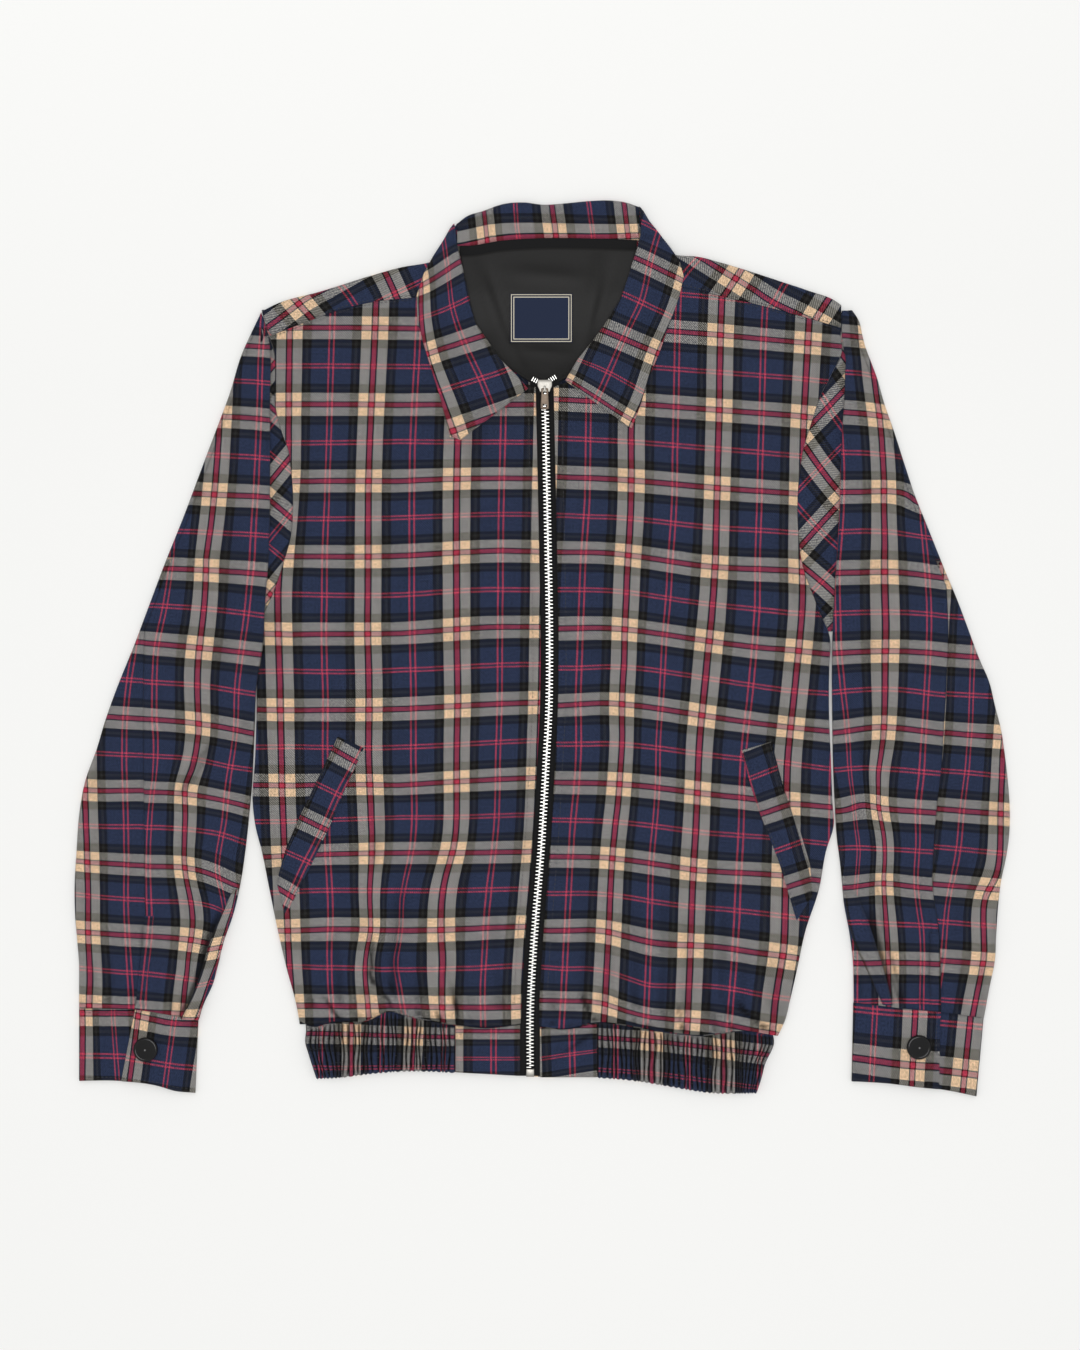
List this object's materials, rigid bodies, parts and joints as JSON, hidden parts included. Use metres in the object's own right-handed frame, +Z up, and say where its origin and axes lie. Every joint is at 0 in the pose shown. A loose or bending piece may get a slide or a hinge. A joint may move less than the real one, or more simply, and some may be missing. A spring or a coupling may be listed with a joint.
{
  "type": "harrington jacket",
  "caption": "Zipped harrington jacket in checked twill, laid flat on its back, with a pointed collar, slanted welt pockets, a ruched waistband and buttoned cuffs.",
  "frame": {"origin": "on the table, under the middle of the jacket's outline", "axes": "+X across the jacket towards the wearer's left sleeve, +Y from the hem to the collar, +Z up from the table, away from the jacket's back"},
  "size_m": [0.7472, 0.7158, 0.0111],
  "materials": {
    "twill": "navy, black and tan checked twill with red lines, matt",
    "satin": "brown-black lining satin, soft sheen",
    "damask": "navy woven label with a pale border",
    "tape": "black woven tape, matt",
    "zip_metal": "bright, lightly polished",
    "pull_metal": "dark antique bronze, satin",
    "button": "black, glossy"
  },
  "bodies": {
    "jacket": {"back": "twill", "button_L": "button", "button_R": "button", "collar_back": "twill", "collar_leaf_L": "twill", "collar_leaf_R": "twill", "collar_stand": "twill", "cuff_L": "twill", "cuff_R": "twill", "front_L": "twill", "front_R": "twill", "label": "damask", "lining_back": "satin", "neck_tape": "tape", "placket_L": "twill", "placket_R": "twill", "sleeve_back_L": "twill", "sleeve_back_R": "twill", "sleeve_front_L": "twill", "sleeve_front_R": "twill", "sleeve_turn_L": "twill", "sleeve_turn_R": "twill", "waistband_back": "twill", "waistband_elastic_L": "twill", "waistband_elastic_R": "twill", "waistband_tab_L": "twill", "waistband_tab_R": "twill", "welt_L": "twill", "welt_R": "twill", "yoke_L": "twill", "yoke_R": "twill", "zip_box": "zip_metal", "zip_chain": "zip_metal", "zip_slider": "zip_metal", "zip_tape_L": "tape", "zip_tape_R": "tape"},
    "pull_tab": {"zip_pull": "pull_metal"}
  },
  "joints": [
    {"name": "pull_tab_hinge", "type": "hinge", "parent": "jacket", "child": "pull_tab", "pos_m": [0.0022, 0.2075, 0.008], "axis": [-1, 0, 0], "range_deg": [0, 150]}
  ]
}
